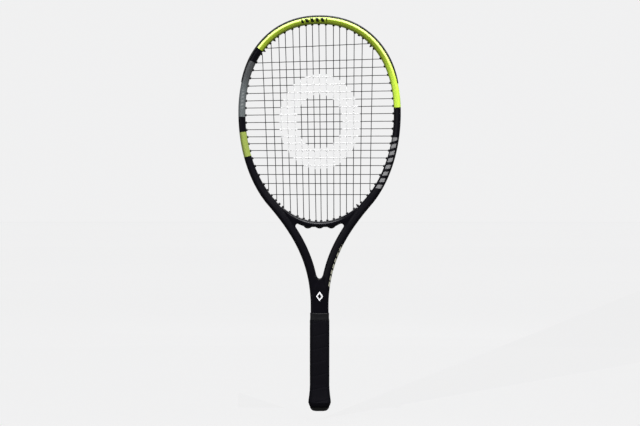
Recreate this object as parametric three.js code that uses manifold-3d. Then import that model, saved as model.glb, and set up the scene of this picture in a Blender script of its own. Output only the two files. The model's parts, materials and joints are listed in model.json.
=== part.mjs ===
// An adult tennis racket, strung, standing on its butt end.
// Millimetres. +Z runs from the butt end to the tip of the head, -Y is the front, +X the right.
// The origin is the centre of the butt end.
import * as THREE from 'three';
import { LoftGeometry } from 'three/addons/geometries/LoftGeometry.js';
import { mergeVertices } from 'three/addons/utils/BufferGeometryUtils.js';
import Module from 'manifold-3d';

const wasm = await Module();
wasm.setup();

// Driving dimensions.
const racketLength = 685.8;
const gap = 0.3;
const beam = { face: 12, throatFace: 15.3, shaftFace: 15.5, halfDepth: 12 };
const bumperHeight = 2.4;
const head = { centre: 516, halfWidth: 128.9, drop: 187.4, squareness: 2.2 };
head.rise = racketLength - bumperHeight - beam.face - head.centre;
const junctionAngle = THREE.MathUtils.degToRad(141.7);
const shaftJoin = { x: 7.75, z: 178.75 };
const armPull = { top: 79.4, bottom: 73.7 };

// Groove around the outside of the head, and what lies in it.
const groove = { depth: 3, halfWidth: 3.2, armEnd: 0.42 };
const strip = { halfWidth: 2.9, base: 0.9, channel: 1.95 };
const loopDepth = 0.85;
const barrel = { radius: 2.15, bore: 1.45, frameHole: 2.55, sides: 6, stickOut: 2.2 };

// Strings.
const string = {
  radius: 0.65, sides: 4, bend: 2.6, weave: 1.5, boreShift: 0.35, lane: 1.15, knot: 1.2, tail: 3.7,
};
// Where the mains leave the head, from the middle outward: the left half, then the right half.
const mainTop = [
  [-12.8, -23.8, -36, -47.6, -61, -72.5, -86, -101.5],
  [-1.3, 11, 24.4, 35.5, 48, 61.4, 75.8, 94.5],
];
const mainBottom = [
  [-6.2, -17.6, -27.5, -38.3, -51.7, -63.8, -76.2, -90.5],
  [2.8, 13.5, 24.8, 35.8, 48, 60, 72.5, 89.5],
];
// Where the crosses leave the left side; those above the level one climb a little towards the right.
const crossHeight = [
  631, 605, 591.5, 577.5, 564, 551, 538, 525.5, 513, 500, 487.5, 475, 463, 451, 438, 424.5, 409, 393, 373.5,
];
const crossClimb = { level: 440, slope: 0.042 };
const tieOff = { mainTop: [-97.2, 89.9], crossTop: [-79.3, 68.6], bottom: [-70, 66.5] };
const bumperEnd = [567.5, 565.5];

// Throat bridge.
const bridge = { under: 319.6, rise: 5.6, flat: 23, slope: 14, halfDepth: 10, end: 41.5, groove: 1.8 };
const bridgeBody = { reach: 64, steps: 32, armStart: 48, armSlope: 1.3, bottom: 300, top: 345 };

// Handle.
const shaft = { halfWidth: 15.6, halfDepth: 12.5, chamfer: 3.5, bottom: 166, taper: 200 };
const crotch = { halfWidth: 9, halfDepth: 10.5, chamfer: 3, z: 227 };
const neck = { halfWidth: 13.9, halfDepth: 10.8, bottom: 155.3 };
const tang = { halfWidth: 11, halfDepth: 8.5, bottom: 14 };
const pallet = { halfWidth: 15.1, halfDepth: 13.1, chamfer: 4.6, bottom: 11.3, top: 155 };
const grip = { halfWidth: 17, halfDepth: 15, chamfer: 5, thickness: 1.6, bottom: 7, top: 157 };
const skirt = { halfWidth: 15, halfDepth: 11.9, chamfer: 3.6, top: 165.5, thickness: 0.8 };
const tape = { bottom: 158.2, top: 165.6, thickness: 0.35 };
const collar = { bottom: 157.9, top: 169.5, thickness: 0.65, clearance: 0.35 };
const cap = { top: 30, floor: 11, chamfer: 4.2 };
const door = { halfWidth: 6.5, halfDepth: 4, thickness: 2, legLength: 7 };
const depthLoss = grip.halfWidth - grip.halfDepth;

// Materials.
const paint = { color: 0x14131b, roughness: 0.35, metalness: 0.1 };
const nylon = { color: 0x111113, roughness: 0.6, metalness: 0 };
const polyester = { color: 0x1b1b20, roughness: 0.4, metalness: 0 };
const foam = { color: 0x3a3a3d, roughness: 0.9, metalness: 0 };
const wrap = { color: 0x19181c, roughness: 0.75, metalness: 0 };
const soft = { color: 0x202024, roughness: 0.85, metalness: 0 };
const steel = { color: 0xb6b8bb, roughness: 0.35, metalness: 0.9 };

const root = new THREE.Group();

// ---- Solids -------------------------------------------------------------

function solid(shape) {
  const bare = new THREE.BufferGeometry();
  bare.setAttribute('position', shape.attributes.position);
  bare.setIndex(shape.index);
  const merged = mergeVertices(bare, 1e-4);
  return new wasm.Manifold(new wasm.Mesh({
    numProp: 3,
    vertProperties: new Float32Array(merged.attributes.position.array),
    triVerts: new Uint32Array(merged.index.array),
  }));
}

function loft(sections) {
  return solid(new LoftGeometry(sections, { capStart: true, capEnd: true }));
}

function join(solids) {
  return solids.reduce((whole, next) => whole.add(next));
}

function block(x, y, z) {
  const geometry = new THREE.BoxGeometry(x[1] - x[0], y[1] - y[0], z[1] - z[0]);
  geometry.translate((x[0] + x[1]) / 2, (y[0] + y[1]) / 2, (z[0] + z[1]) / 2);
  return solid(geometry);
}

function addPart(name, shape, look) {
  const mesh = shape.getMesh();
  const geometry = new THREE.BufferGeometry();
  geometry.setAttribute('position', new THREE.BufferAttribute(mesh.vertProperties, 3));
  geometry.setIndex(new THREE.BufferAttribute(mesh.triVerts, 1));
  const part = new THREE.Mesh(geometry, new THREE.MeshStandardMaterial(look));
  part.name = name;
  root.add(part);
}

// A ring of points around a line that runs mostly across Y.
function ring(centre, tangent, radius, sides) {
  const across = new THREE.Vector3(0, 1, 0).cross(tangent).normalize();
  const up = new THREE.Vector3().crossVectors(tangent, across);
  return Array.from({ length: sides }, (_, i) => {
    const turn = (i / sides) * 2 * Math.PI;
    return centre.clone()
      .addScaledVector(across, radius * Math.cos(turn))
      .addScaledVector(up, radius * Math.sin(turn));
  });
}

function rod(from, to, radius, sides) {
  const direction = to.clone().sub(from).normalize();
  return loft([ring(from, direction, radius, sides), ring(to, direction, radius, sides)]);
}

function octagon(halfWidth, halfDepth, chamfer, z) {
  const corners = [
    [halfWidth, -halfDepth + chamfer], [halfWidth, halfDepth - chamfer],
    [halfWidth - chamfer, halfDepth], [-halfWidth + chamfer, halfDepth],
    [-halfWidth, halfDepth - chamfer], [-halfWidth, -halfDepth + chamfer],
    [-halfWidth + chamfer, -halfDepth], [halfWidth - chamfer, -halfDepth],
  ];
  return corners.map(([x, y]) => new THREE.Vector3(x, y, z));
}

// ---- The plan of the frame ----------------------------------------------

// A point of the head's inner edge, by the angle from the tip, with the direction out of the head.
function rim(angle, side) {
  const upper = angle <= Math.PI / 2;
  const power = upper ? head.squareness : 2;
  const reach = upper ? head.rise : -head.drop;
  const acrossShare = Math.sin(angle) ** (2 / power);
  const upShare = Math.abs(Math.cos(angle)) ** (2 / power);
  const out = new THREE.Vector3(
    (side * acrossShare ** (power - 1)) / head.halfWidth, 0, upShare ** (power - 1) / reach,
  ).normalize();
  const point = new THREE.Vector3(side * head.halfWidth * acrossShare, 0, head.centre + reach * upShare);
  return { point, out };
}

function along(normal, side) {
  return new THREE.Vector3(side * normal.z, 0, -side * normal.x);
}

function faceWidth(z) {
  const share = Math.max(0, head.centre - z) / (head.centre - junctionHeight);
  return beam.face + (beam.throatFace - beam.face) * share ** 2;
}

const junctionHeight = rim(junctionAngle, 1).point.z;

function armCurve() {
  const start = rim(junctionAngle, 1);
  const from = start.point.clone().addScaledVector(start.out, beam.throatFace / 2);
  return new THREE.CubicBezierCurve3(
    from,
    from.clone().addScaledVector(along(start.out, 1), armPull.top),
    new THREE.Vector3(shaftJoin.x, 0, shaftJoin.z + armPull.bottom),
    new THREE.Vector3(shaftJoin.x, 0, shaftJoin.z),
  );
}

const arm = armCurve();

// The middle of the frame: place 0 is the tip, +1 or -1 where an arm leaves the head, +2 or -2 the shaft.
function station(place) {
  const side = place < 0 ? -1 : 1;
  const reach = Math.abs(place);
  if (reach <= 1) {
    const edge = rim(reach * junctionAngle, side);
    const width = faceWidth(edge.point.z);
    return { middle: edge.point.clone().addScaledVector(edge.out, width / 2), out: edge.out, width };
  }
  const middle = arm.getPoint(reach - 1);
  const slope = arm.getTangent(reach - 1);
  const out = new THREE.Vector3(-slope.z, 0, slope.x);
  middle.x *= side;
  out.x *= side;
  return { middle, out, width: THREE.MathUtils.lerp(beam.throatFace, beam.shaftFace, reach - 1) };
}

// Offset n is measured outward from the outer wall, so it is negative inside the frame.
function at(place, n, y) {
  const spot = station(place);
  const point = spot.middle.clone().addScaledVector(spot.out, spot.width / 2 + n);
  point.y = y;
  return point;
}

const hoopSteps = 19;
const armSteps = 9;
const grid = [];
for (let i = -armSteps; i < 0; i += 1) grid.push(-1 + i / armSteps);
for (let i = -hoopSteps; i <= hoopSteps; i += 1) grid.push(i / hoopSteps);
for (let i = 1; i <= armSteps; i += 1) grid.push(1 + i / armSteps);

function places(from, to) {
  const low = Math.min(from, to);
  const high = Math.max(from, to);
  const between = grid.filter((place) => place > low + 0.004 && place < high - 0.004);
  const run = [low, ...between, high];
  return from < to ? run : run.reverse();
}

function angleAtHeight(z) {
  const reach = z > head.centre ? head.rise : head.drop;
  const power = z > head.centre ? head.squareness : 2;
  const angle = Math.acos((Math.abs(z - head.centre) / reach) ** (power / 2));
  return z > head.centre ? angle : Math.PI - angle;
}

function angleAcross(x, top) {
  const power = top ? head.squareness : 2;
  const angle = Math.asin((Math.abs(x) / head.halfWidth) ** (power / 2));
  return top ? angle : Math.PI - angle;
}

// A string hole through the frame: it leaves the head square to the inner edge.
function hole(angle, side) {
  const edge = rim(angle, side);
  const miss = (place) => {
    const gone = at(side * place, -loopDepth, 0).sub(edge.point);
    return side * (gone.x * edge.out.z - gone.z * edge.out.x);
  };
  let near = Math.min(1, (angle / junctionAngle) * 0.98);
  let far = 1.8;
  for (let i = 0; i < 40; i += 1) {
    const middle = (near + far) / 2;
    if (miss(middle) * miss(near) > 0) near = middle;
    else far = middle;
  }
  const place = side * (angle <= junctionAngle ? angle / junctionAngle : near);
  return { ...edge, place, exit: at(place, -loopDepth, 0) };
}

function holeAcross(x, top) {
  return hole(angleAcross(x, top), Math.sign(x));
}

function holeBeside(z, side) {
  const climb = side > 0 ? crossClimb.slope * Math.max(0, z - crossClimb.level) : 0;
  return hole(angleAtHeight(z + climb), side);
}

// The bridge's underside is flat in the middle and rises to its ends.
function bridgeUnder(x) {
  const share = THREE.MathUtils.smoothstep(Math.abs(x), bridge.flat, bridge.flat + bridge.slope);
  return bridge.under + bridge.rise * share;
}

function bridgeHole(x) {
  const edge = rim(angleAcross(x, false), Math.sign(x));
  const exit = new THREE.Vector3(x, 0, bridgeUnder(x) - string.radius / 2);
  return { point: edge.point, out: new THREE.Vector3(0, 0, -1), exit };
}

const bridgeMains = 4;
const mains = [0, 1].map((half) => mainTop[half].map((top, i) => {
  const bottom = mainBottom[half][i];
  const bottomHole = i < bridgeMains ? bridgeHole(bottom) : holeAcross(bottom, false);
  return { top: holeAcross(top, true), bottom: bottomHole };
}));
const crosses = crossHeight.map((z) => [-1, 1].map((side) => holeBeside(z, side)));
const tieHoles = [0, 1].map((half) => ({
  main: holeAcross(tieOff.mainTop[half], true),
  cross: holeAcross(tieOff.crossTop[half], true),
  bottom: holeAcross(tieOff.bottom[half], false),
}));

const bumperHoles = [];
const sideHoles = [[], []];
const throatHoles = [];
[0, 1].forEach((half) => {
  bumperHoles.push(...mains[half].map((main) => main.top), tieHoles[half].main, tieHoles[half].cross);
  crosses.forEach(({ [half]: one }) => {
    const group = one.point.z > bumperEnd[half] ? bumperHoles : sideHoles[half];
    group.push(one);
  });
  sideHoles[half].push(...mains[half].slice(bridgeMains).map((main) => main.bottom), tieHoles[half].bottom);
  throatHoles.push(...mains[half].slice(0, bridgeMains).map((main) => main.bottom));
});

// ---- Frame --------------------------------------------------------------

function beamSection(place) {
  const { width } = station(place);
  const half = [
    [-width, 6], [1.6 - width, 9], [-5.4, beam.halfDepth],
    [-4.2, beam.halfDepth], [-1.2, 9.8], [0, 6.8],
  ];
  const back = half.map(([n, y]) => at(place, n, y));
  const front = half.map(([n, y]) => at(place, n, -y)).reverse();
  return [...back, ...front];
}

function grooveCut() {
  const end = 1 + groove.armEnd;
  return loft(places(-end, end).map((place) => [
    at(place, -groove.depth, groove.halfWidth), at(place, 1.5, groove.halfWidth),
    at(place, 1.5, -groove.halfWidth), at(place, -groove.depth, -groove.halfWidth),
  ]));
}

function bridgeSection(x) {
  const top = rim(angleAcross(x, false), 1).point.z;
  const under = bridgeUnder(x) + bridgeBody.armSlope * Math.max(0, Math.abs(x) - bridgeBody.armStart);
  const depth = bridge.halfDepth;
  const half = [[depth - 2.6, under], [depth, under + 2.4], [depth, top - 3.4], [depth - 3.8, top]];
  const back = half.map(([y, z]) => new THREE.Vector3(x, y, z));
  const front = half.map(([y, z]) => new THREE.Vector3(x, -y, z)).reverse();
  return [...back, ...front];
}

function bridgeLoft() {
  const { reach, steps } = bridgeBody;
  const sections = [];
  for (let i = 0; i <= steps; i += 1) sections.push(bridgeSection(-reach + (2 * reach * i) / steps));
  return loft(sections);
}

function drilled(body, holes) {
  const drills = holes.map((one) => rod(
    one.point.clone().addScaledVector(one.out, -4),
    one.exit.clone().addScaledVector(one.out, 2.5),
    barrel.frameHole, barrel.sides,
  ));
  return body.subtract(join(drills));
}

// The span of the bridge between the shoulders, this much longer at each end.
function bridgeSpan(extra) {
  const end = bridge.end + extra;
  return block([-end, end], [-20, 20], [bridgeBody.bottom, bridgeBody.top]);
}

function frame() {
  const hairpin = loft(grid.map(beamSection));
  const shaftBody = loft([
    octagon(shaft.halfWidth, shaft.halfDepth, shaft.chamfer, shaft.bottom),
    octagon(shaft.halfWidth, shaft.halfDepth, shaft.chamfer, shaft.taper),
    octagon(crotch.halfWidth, crotch.halfDepth, crotch.chamfer, crotch.z),
  ]);
  const neckBody = loft([
    octagon(neck.halfWidth, neck.halfDepth, shaft.chamfer, neck.bottom),
    octagon(neck.halfWidth, neck.halfDepth, shaft.chamfer, shaft.bottom + 2),
  ]);
  const tangBody = loft([
    octagon(tang.halfWidth, tang.halfDepth, 2, tang.bottom),
    octagon(tang.halfWidth, tang.halfDepth, 2, neck.bottom + 2),
  ]);
  const shoulders = bridgeLoft().subtract(bridgeSpan(gap / 2));
  const whole = join([hairpin, shaftBody, neckBody, tangBody, shoulders]).subtract(grooveCut());
  return drilled(whole, [...bumperHoles, ...sideHoles[0], ...sideHoles[1]]);
}

function slotSection(x) {
  const low = bridgeUnder(x) - 2;
  const high = bridgeUnder(x) + bridge.groove;
  return [[1, low], [1, high], [-1, high], [-1, low]]
    .map(([side, z]) => new THREE.Vector3(x, side * groove.halfWidth, z));
}

function throatBridge() {
  const { reach, steps } = bridgeBody;
  const sections = Array.from({ length: steps + 1 }, (_, i) => slotSection(-reach + (2 * reach * i) / steps));
  const body = bridgeLoft().intersect(bridgeSpan(-gap / 2)).subtract(loft(sections));
  return drilled(body, throatHoles);
}

// ---- Grommets -----------------------------------------------------------

function barrels(holes, seat) {
  const { radius, bore, sides, stickOut } = barrel;
  const inside = (one, depth) => one.point.clone().addScaledVector(one.out, -depth);
  const outside = (one) => one.exit.clone().addScaledVector(one.out, 1);
  const tubes = holes.map((one) => rod(inside(one, stickOut), seat(one), radius, sides));
  const bores = holes.map((one) => rod(inside(one, stickOut + 1), outside(one), bore, sides));
  return { tubes: join(tubes), bores: join(bores) };
}

function grommeted(body, holes, seat) {
  const { tubes, bores } = barrels(holes, seat);
  return body.add(tubes).subtract(bores);
}

const stripFloor = gap - groove.depth;
const floorDepth = stripFloor + loopDepth + strip.base / 2;
const seatOnFloor = (one) => one.exit.clone().addScaledVector(one.out, floorDepth);

function sideStripSection(place, outer) {
  const top = stripFloor + strip.base;
  const half = [
    [stripFloor, strip.halfWidth], [outer, strip.halfWidth], [outer, strip.channel], [top, strip.channel],
  ];
  const back = half.map(([n, y]) => at(place, n, y));
  const front = half.map(([n, y]) => at(place, n, -y)).reverse();
  return [...back, ...front];
}

function sideStrip(half) {
  const side = half === 0 ? -1 : 1;
  const start = angleAtHeight(bumperEnd[half] - 2) / junctionAngle;
  const end = 1 + groove.armEnd - 0.02;
  const run = side < 0 ? places(-end, -start) : places(start, end);
  return grommeted(loft(run.map((place) => sideStripSection(place, 0))), sideHoles[half], seatOnFloor);
}

function bumperSection(place, share) {
  const top = stripFloor + strip.base;
  const crown = 0.9 + (bumperHeight - 0.9) * share;
  const half = [
    [stripFloor, strip.halfWidth], [gap, strip.halfWidth], [gap, 6.86], [-0.92, 9.91],
    [-0.5, 10.7], [0.6 + 0.7 * share, 8.8], [crown, 6.2], [crown, strip.channel], [top, strip.channel],
  ];
  const back = half.map(([n, y]) => at(place, n, y));
  const front = half.map(([n, y]) => at(place, n, -y)).reverse();
  return [...back, ...front];
}

function bumperGuard() {
  const [left, right] = bumperEnd.map((z) => angleAtHeight(z) / junctionAngle);
  const taper = 0.12;
  const share = (place) => Math.min(1, (place + left) / taper, (right - place) / taper);
  const body = loft(places(-left, right).map((place) => bumperSection(place, share(place))));
  return grommeted(body, bumperHoles, seatOnFloor);
}

function throatStrip() {
  const bumps = { centres: [-20.5, 0, 20.5], halfWidth: 7, height: 2.6 };
  const steps = 27;
  const reach = bridge.end - 1;
  const floor = (x) => bridgeUnder(x) + bridge.groove - gap;
  const sections = [];
  for (let i = 0; i <= steps; i += 1) {
    const x = -reach + (2 * reach * i) / steps;
    const bump = Math.max(...bumps.centres.map((centre) => 1 - ((x - centre) / bumps.halfWidth) ** 2), 0);
    const lip = bridgeUnder(x) - 0.9 - bumps.height * bump;
    const half = [
      [strip.channel, floor(x) - strip.base], [strip.channel, lip],
      [strip.halfWidth, lip], [strip.halfWidth, floor(x)],
    ];
    const back = half.map(([y, z]) => new THREE.Vector3(x, y, z));
    sections.push([...back, ...back.map((p) => new THREE.Vector3(x, -p.y, p.z)).reverse()]);
  }
  const seat = (one) => new THREE.Vector3(one.exit.x, 0, floor(one.exit.x) - strip.base / 2);
  return grommeted(loft(sections), throatHoles, seat);
}

// ---- Strings ------------------------------------------------------------

// From inside the head, out through a hole and round into the groove, towards another hole.
function way(one, other, lane) {
  const bore = Math.sign(lane) * string.boreShift;
  const next = one.place === undefined
    ? other.exit.clone().sub(one.exit).normalize()
    : at(one.place + 0.01 * Math.sign(other.place - one.place), -loopDepth, 0).sub(one.exit).normalize();
  const step = (base, out, forward, y) => {
    const point = base.clone().addScaledVector(one.out, out).addScaledVector(next, forward);
    point.y = y;
    return point;
  };
  return [
    step(one.point, -string.bend, 0, bore),
    step(one.exit, -1.5, 0, bore),
    step(one.exit, -0.4, 0.35, (bore + lane) / 2),
    step(one.exit, 0, 1.7, lane),
  ];
}

function loop(from, to, lane) {
  const out = way(from, to, lane);
  const back = way(to, from, lane).reverse();
  if (from.place === undefined) return [...out, ...back];
  const margin = 0.009;
  const run = places(from.place, to.place).slice(1, -1)
    .filter((place) => Math.min(Math.abs(place - from.place), Math.abs(place - to.place)) > margin)
    .map((place) => at(place, -loopDepth, lane));
  return [...out, ...run, ...back];
}

// The end of a strand, past the tip of its tie-off barrel.
function tail(one, laneSide) {
  const point = one.point.clone().addScaledVector(one.out, -string.tail);
  point.y = laneSide * string.boreShift;
  return point;
}

function knotAt(end) {
  const knot = new THREE.SphereGeometry(string.knot, 8, 6);
  knot.translate(end.x, end.y, end.z);
  return solid(knot);
}

function strand(path) {
  const sections = path.map((point, i) => {
    const before = i > 0 ? point.clone().sub(path[i - 1]).normalize() : new THREE.Vector3();
    const after = i < path.length - 1 ? path[i + 1].clone().sub(point).normalize() : new THREE.Vector3();
    return ring(point, before.add(after).normalize(), string.radius, string.sides);
  });
  return join([loft(sections), knotAt(path[0]), knotAt(path[path.length - 1])]);
}

function mainHalf(side) {
  const half = mains[side < 0 ? 0 : 1];
  const tie = tieHoles[side < 0 ? 0 : 1].main;
  const path = loop(tie, half[7].top, -string.lane);
  for (let i = 7; i > 0; i -= 2) {
    path.push(...loop(half[i].bottom, half[i - 1].bottom, -string.lane));
    if (i > 1) path.push(...loop(half[i - 1].top, half[i - 2].top, -string.lane));
  }
  return path;
}

function mainString() {
  const left = mainHalf(-1);
  const right = mainHalf(1).reverse();
  const centre = loop(mains[0][0].top, mains[1][0].top, -string.lane);
  return strand([tail(tieHoles[0].main, -1), ...left, ...centre, ...right, tail(tieHoles[1].main, -1)]);
}

function tipOf({ point, out }) {
  return point.clone().addScaledVector(out, -string.bend);
}

// The points where one cross weaves over and under the mains, from left to right.
function crossRow(row) {
  const [left, right] = crosses[row].map(tipOf);
  const points = [];
  mains.forEach((half, side) => half.forEach((main, index) => {
    const top = tipOf(main.top);
    const bottom = tipOf(main.bottom);
    const guess = (top.x + bottom.x) / 2;
    const z = THREE.MathUtils.mapLinear(guess, left.x, right.x, left.z, right.z);
    if (z > top.z || z < bottom.z) return;
    const x = THREE.MathUtils.mapLinear(z, bottom.z, top.z, bottom.x, top.x);
    const over = (index + side + row) % 2 === 0 ? 1 : -1;
    points.push(new THREE.Vector3(x, over * string.weave - string.boreShift, z));
  }));
  return points.sort((a, b) => a.x - b.x);
}

function crossString() {
  const path = [tail(tieHoles[0].cross, 1), ...loop(tieHoles[0].cross, crosses[0][0], string.lane)];
  crosses.forEach((ends, row) => {
    const goingRight = row % 2 === 0;
    const points = crossRow(row);
    path.push(...(goingRight ? points : points.reverse()));
    const far = goingRight ? 1 : 0;
    const next = row < crosses.length - 1 ? crosses[row + 1][far] : tieHoles[1].bottom;
    path.push(...loop(ends[far], next, string.lane));
  });
  path.push(tail(tieHoles[1].bottom, 1));
  return strand(path);
}

// ---- Handle -------------------------------------------------------------

// Half widths of the grip's outside up the handle, flaring over the butt cap.
const gripProfile = [
  [grip.bottom, 16], [10, 17.9], [15, 19.6], [20, 19.1], [25, 18.4], [36, 17.3], [46, 16.9],
  [60, grip.halfWidth], [grip.top, grip.halfWidth],
];

function gripSections(profile, inset) {
  return profile.map(([z, width]) => {
    const chamfer = (grip.chamfer * width) / grip.halfWidth - inset * 0.6;
    return octagon(width - inset, width - depthLoss - inset, chamfer, z);
  });
}

// Room for the pallets and a little more, between two heights.
function palletRoom(bottom, top) {
  const room = pallet.halfWidth + gap;
  return loft([bottom, top].map((z) => octagon(room, room - depthLoss, pallet.chamfer - 0.2, z)));
}

function skirtLoft(bottom, top, inset) {
  const { halfWidth, halfDepth, chamfer } = skirt;
  const corner = chamfer - inset * 0.4;
  return loft([bottom, top].map((z) => octagon(halfWidth - inset, halfDepth - inset, corner, z)));
}

function baseGrip() {
  const sleeve = loft(gripSections(gripProfile, 0));
  const whole = join([sleeve, skirtLoft(grip.top - 1, skirt.top, 0)]);
  const skirtBore = skirtLoft(pallet.top - 5, skirt.top + 1, skirt.thickness);
  const flare = gripProfile.filter(([z]) => z < cap.top);
  const capRoom = loft(gripSections([[3, 13.5], ...flare, [cap.top + gap, 17.9]], grip.thickness));
  return whole.subtract(join([palletRoom(3, pallet.top + gap), skirtBore])).subtract(capRoom);
}

function palletHalf(side) {
  const body = loft([
    octagon(pallet.halfWidth, pallet.halfDepth, pallet.chamfer, pallet.bottom),
    octagon(pallet.halfWidth, pallet.halfDepth, pallet.chamfer, pallet.top),
  ]);
  const channel = block(
    [-tang.halfWidth - gap, tang.halfWidth + gap], [-tang.halfDepth - gap, tang.halfDepth + gap], [5, 160],
  );
  const other = side < 0 ? [-gap / 2, 30] : [-30, gap / 2];
  return body.subtract(channel).subtract(block([-30, 30], other, [0, 170])).subtract(stapleRoom());
}

function buttCap() {
  const profile = [
    [0, 10.4], [0.9, 12.2], [2.6, 14], [4.5, 15.4], [6.6, 16.6], [grip.bottom, 14.1], [10, 16],
    [15, 17.5], [20, 17.1], [25, 16.5], [cap.top, 16.1],
  ];
  const outer = loft(profile.map(([z, width]) => octagon(width, width - depthLoss, cap.chamfer, z)));
  const cup = palletRoom(cap.floor, cap.top + 10);
  const doorRoom = block(
    [-door.halfWidth - gap, door.halfWidth + gap], [-door.halfDepth - gap, door.halfDepth + gap],
    [-1, door.thickness + gap],
  );
  const passage = block(
    [-door.halfWidth + 1, door.halfWidth - 1], [-door.halfDepth + 0.6, door.halfDepth - 0.6], [1, 20],
  );
  return outer.subtract(cup).subtract(doorRoom).subtract(passage).subtract(stapleRoom());
}

function buttCapDoor() {
  const { halfWidth, halfDepth, thickness } = door;
  const plate = block([-halfWidth, halfWidth], [-halfDepth, halfDepth], [0, thickness]);
  const legs = [-1, 1].map((side) => {
    const x = side * (door.halfWidth - 2.2);
    return block([x - 0.6, x + 0.6], [-2.4, 2.4], [door.thickness - 0.5, door.thickness + door.legLength]);
  });
  return join([plate, ...legs]);
}

// A short sleeve around the handle: the finishing tape or the collar.
function band(innerWidth, { bottom, top, thickness }) {
  const loss = shaft.halfWidth - shaft.halfDepth;
  const chamfer = 3.7;
  const outerWidth = innerWidth + thickness;
  const outer = [bottom, top].map((z) => octagon(outerWidth, outerWidth - loss, chamfer, z));
  const boreCorner = chamfer - thickness / 2;
  const bore = [bottom - 1, top + 1].map((z) => octagon(innerWidth, innerWidth - loss, boreCorner, z));
  return loft(outer).subtract(loft(bore));
}

// Staples that hold the butt cap to the pallets.
const staple = { halfSpan: 3.5, wire: 0.5, height: 22, crown: 14.75, reach: 4.4 };
const stapleSpots = [[-1, -5.2], [-1, 5.2], [1, -5.2], [1, 5.2]];

function stapleSolid([face, x], grow) {
  const wire = staple.wire + grow;
  const span = staple.halfSpan + grow;
  const spread = (from, to) => [Math.min(face * from, face * to), Math.max(face * from, face * to)];
  const crown = block(
    [x - span, x + span], spread(staple.crown - 2 * staple.wire - grow, staple.crown + grow * 4),
    [staple.height - wire, staple.height + wire],
  );
  const legs = [-1, 1].map((end) => {
    const centre = x + end * (staple.halfSpan - staple.wire);
    return block(
      [centre - wire, centre + wire], spread(staple.crown - staple.reach - grow, staple.crown - 0.4),
      [staple.height - wire, staple.height + wire],
    );
  });
  return join([crown, ...legs]);
}

function stapleRoom() {
  return join(stapleSpots.map((spot) => stapleSolid(spot, gap)));
}

// ---- The racket ---------------------------------------------------------

addPart('frame', frame(), paint);
addPart('throat_bridge', throatBridge(), paint);
addPart('bumper_guard', bumperGuard(), nylon);
addPart('grommet_strip_left', sideStrip(0), nylon);
addPart('grommet_strip_right', sideStrip(1), nylon);
addPart('grommet_strip_throat', throatStrip(), nylon);
addPart('main_string', mainString(), polyester);
addPart('cross_string', crossString(), polyester);
addPart('handle_pallet_front', palletHalf(-1), foam);
addPart('handle_pallet_back', palletHalf(1), foam);
addPart('butt_cap', buttCap(), nylon);
addPart('butt_cap_door', buttCapDoor(), nylon);
stapleSpots.forEach((spot, i) => addPart(`butt_cap_staple_${i + 1}`, stapleSolid(spot, 0), steel));
addPart('base_grip', baseGrip(), wrap);
addPart('finishing_tape', band(skirt.halfWidth + gap, tape), soft);
addPart('rubber_collar', band(shaft.halfWidth + collar.clearance, collar), soft);

export default root;
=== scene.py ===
"""An adult tennis racket, strung, standing upright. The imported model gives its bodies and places.

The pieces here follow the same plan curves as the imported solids, in millimetres, and are scaled to metres
when their meshes are made.
"""
import json
import math

import bpy
import numpy as np
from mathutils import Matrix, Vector
from mathutils.kdtree import KDTree

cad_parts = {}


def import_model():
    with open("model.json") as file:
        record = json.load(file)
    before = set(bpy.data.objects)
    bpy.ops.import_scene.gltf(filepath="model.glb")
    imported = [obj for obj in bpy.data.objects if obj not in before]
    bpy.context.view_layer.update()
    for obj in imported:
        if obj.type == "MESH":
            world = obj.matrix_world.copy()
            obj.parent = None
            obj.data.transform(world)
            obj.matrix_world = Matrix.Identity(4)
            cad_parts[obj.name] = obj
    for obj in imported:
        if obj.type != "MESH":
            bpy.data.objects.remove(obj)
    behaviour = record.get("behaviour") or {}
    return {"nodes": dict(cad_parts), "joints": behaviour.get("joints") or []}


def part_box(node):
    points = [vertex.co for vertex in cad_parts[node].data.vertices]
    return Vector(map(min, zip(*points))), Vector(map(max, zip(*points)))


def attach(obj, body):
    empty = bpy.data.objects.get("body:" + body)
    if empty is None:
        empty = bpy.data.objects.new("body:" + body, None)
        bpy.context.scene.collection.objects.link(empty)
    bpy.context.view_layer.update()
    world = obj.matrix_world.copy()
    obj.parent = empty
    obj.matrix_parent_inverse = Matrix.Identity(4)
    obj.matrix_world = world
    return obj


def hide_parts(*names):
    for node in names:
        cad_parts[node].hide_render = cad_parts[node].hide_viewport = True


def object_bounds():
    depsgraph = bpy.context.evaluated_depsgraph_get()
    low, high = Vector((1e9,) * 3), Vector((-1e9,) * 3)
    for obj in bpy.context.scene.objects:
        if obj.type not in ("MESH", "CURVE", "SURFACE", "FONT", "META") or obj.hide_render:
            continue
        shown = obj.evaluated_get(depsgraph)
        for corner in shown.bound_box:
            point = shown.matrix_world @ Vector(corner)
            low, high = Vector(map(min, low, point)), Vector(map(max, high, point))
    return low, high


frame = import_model()
cad_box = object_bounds()

MM = 0.001


def lowest(node):
    """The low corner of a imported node's box, in millimetres."""
    return [round(c / MM, 2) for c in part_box(node)[0]]


def highest(node):
    """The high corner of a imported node's box, in millimetres."""
    return [round(c / MM, 2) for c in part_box(node)[1]]


# Plan of the frame.
RACKET_LENGTH = round(cad_box[1][2] / MM, 2)
BUMPER_HEIGHT, BUMPER_END_HEIGHT = 2.4, 0.9
FACE, THROAT_FACE, SHAFT_FACE, HALF_DEPTH = 12.0, 15.3, 15.5, 12.0
HEAD_CENTRE, HEAD_HALF_WIDTH, HEAD_DROP, SQUARENESS = 516.0, 128.9, 187.4, 2.2
HEAD_RISE = RACKET_LENGTH - BUMPER_HEIGHT - FACE - HEAD_CENTRE
JUNCTION = math.radians(141.7)
SHAFT_X, SHAFT_Z = 7.75, 178.75
ARM_TOP_PULL, ARM_BOTTOM_PULL = 79.4, 73.7
ARM_STRIP_END = 0.42

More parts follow.
